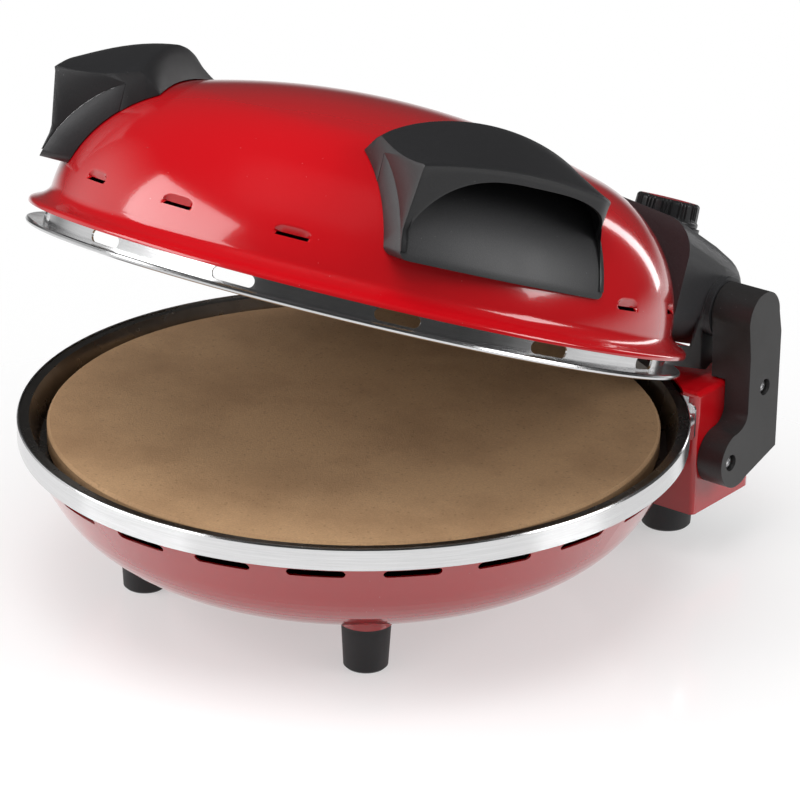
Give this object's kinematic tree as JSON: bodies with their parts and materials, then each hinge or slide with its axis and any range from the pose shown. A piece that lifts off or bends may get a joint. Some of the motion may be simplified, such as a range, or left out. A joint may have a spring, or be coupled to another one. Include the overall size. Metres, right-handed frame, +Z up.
{
  "type": "electric pizza oven",
  "caption": "Countertop electric pizza oven: a round bowl with a baking stone and a domed, hinged, heated lid with two side handles and a rear control knob.",
  "frame": {"origin": "on the table, under the middle of the oven's bounding box, with the lid as modelled", "axes": "+Z up, the front at -Y, the hinge at the back at +Y, +X to the right seen from the front"},
  "size_m": [0.362, 0.3878, 0.2935],
  "materials": {
    "red_paint": "glossy",
    "black_plastic": "satin",
    "steel_trim": "satin",
    "screw_steel": "polished",
    "dark_pan": "satin",
    "stone": "matt",
    "heater_tube": "oxidised",
    "bright_steel": "satin",
    "terminal_ceramic": "matt",
    "rubber": "matt",
    "foot_plastic": "matt",
    "reflector_steel": "satin",
    "housing_plastic": "satin",
    "handle_plastic": "satin",
    "panel_plastic": "satin",
    "knob_plastic": "satin",
    "dial_red": "glossy"
  },
  "bodies": {
    "base": {"base_shell": "red_paint", "tower_bottom_cover": "black_plastic", "rim_band": "steel_trim", "rim_band_screws": "screw_steel", "lower_reflector": "dark_pan", "baking_stone": "stone", "lower_heater": "heater_tube", "lower_heater_clips": "bright_steel", "base_terminal_block": "terminal_ceramic", "cord_gland": "rubber", "front_foot_left": "foot_plastic", "front_foot_right": "foot_plastic", "rear_foot_left": "foot_plastic", "rear_foot_right": "foot_plastic", "foot_screws": "screw_steel", "arm_left": "black_plastic", "arm_right": "black_plastic", "arm_screws_left": "screw_steel", "arm_screws_right": "screw_steel", "hinge_pin_left": "screw_steel", "hinge_pin_right": "screw_steel"},
    "lid": {"lid_dome": "red_paint", "lid_band": "steel_trim", "upper_reflector": "reflector_steel", "upper_heater": "heater_tube", "upper_heater_clips": "bright_steel", "hinge_barrel_left": "housing_plastic", "hinge_barrel_right": "housing_plastic", "handle_left": "handle_plastic", "handle_right": "handle_plastic", "handle_panel_left": "panel_plastic", "handle_panel_right": "panel_plastic", "rear_housing": "housing_plastic", "housing_bottom_cover": "housing_plastic", "lid_terminal_block": "terminal_ceramic", "thermostat": "bright_steel"},
    "knob": {"control_knob": "knob_plastic", "knob_shaft": "screw_steel", "knob_dial": "dial_red"}
  },
  "joints": [
    {"name": "lid_hinge", "type": "hinge", "parent": "base", "child": "lid", "pos_m": [0, 0.15811, 0.135], "axis": [-1, 0, 0], "range_deg": [-21.2, 68.8]},
    {"name": "knob_turn", "type": "hinge", "parent": "lid", "child": "knob", "pos_m": [0.073, 0.17038, 0.16939], "axis": [0, 0.3616, 0.9323], "range_deg": [0, 270]}
  ]
}
